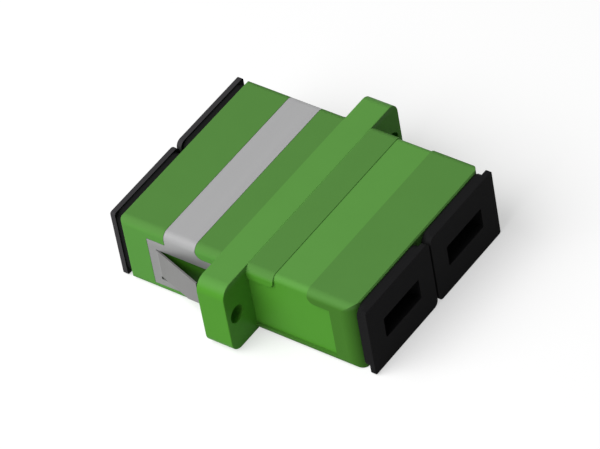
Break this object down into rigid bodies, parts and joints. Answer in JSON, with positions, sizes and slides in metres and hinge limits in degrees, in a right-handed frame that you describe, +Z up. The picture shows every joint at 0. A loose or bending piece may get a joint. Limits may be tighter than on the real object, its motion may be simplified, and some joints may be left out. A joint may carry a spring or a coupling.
{
  "type": "duplex fibre optic adapter",
  "caption": "Duplex push-pull fibre adapter with a screw flange, a sprung panel clip and a dust cap in each port.",
  "frame": {"origin": "centre of the flange face that lies against the panel, midway between its two screw holes", "axes": "+X along the fibres from the clip half to the plain half, +Y across the two channels, +Z up"},
  "size_m": [0.0355, 0.035, 0.01],
  "materials": {
    "housing_green": "moulded, satin",
    "clip_steel": "rolled sheet, satin",
    "holder_plastic": "natural moulded",
    "sleeve_ceramic": "ground",
    "cap_black": "moulded, matte"
  },
  "bodies": {
    "adapter": {"housing_flange_half": "housing_green", "housing_plain_half": "housing_green", "panel_clip": "clip_steel", "sleeve_holder_a_plain_side": "holder_plastic", "sleeve_holder_a_clip_side": "holder_plastic", "split_sleeve_a": "sleeve_ceramic", "sleeve_holder_b_plain_side": "holder_plastic", "sleeve_holder_b_clip_side": "holder_plastic", "split_sleeve_b": "sleeve_ceramic"},
    "dust_cap_a_plain_end": {"dust_cap_a_plain_end": "cap_black"},
    "dust_cap_a_clip_end": {"dust_cap_a_clip_end": "cap_black"},
    "dust_cap_b_plain_end": {"dust_cap_b_plain_end": "cap_black"},
    "dust_cap_b_clip_end": {"dust_cap_b_clip_end": "cap_black"}
  },
  "joints": [
    {"name": "dust_cap_a_plain_end_pull", "type": "slide", "parent": "adapter", "child": "dust_cap_a_plain_end", "axis": [1, 0, 0], "range_m": [0, 0.012]},
    {"name": "dust_cap_a_clip_end_pull", "type": "slide", "parent": "adapter", "child": "dust_cap_a_clip_end", "axis": [-1, 0, 0], "range_m": [0, 0.012]},
    {"name": "dust_cap_b_plain_end_pull", "type": "slide", "parent": "adapter", "child": "dust_cap_b_plain_end", "axis": [1, 0, 0], "range_m": [0, 0.012]},
    {"name": "dust_cap_b_clip_end_pull", "type": "slide", "parent": "adapter", "child": "dust_cap_b_clip_end", "axis": [-1, 0, 0], "range_m": [0, 0.012]}
  ]
}
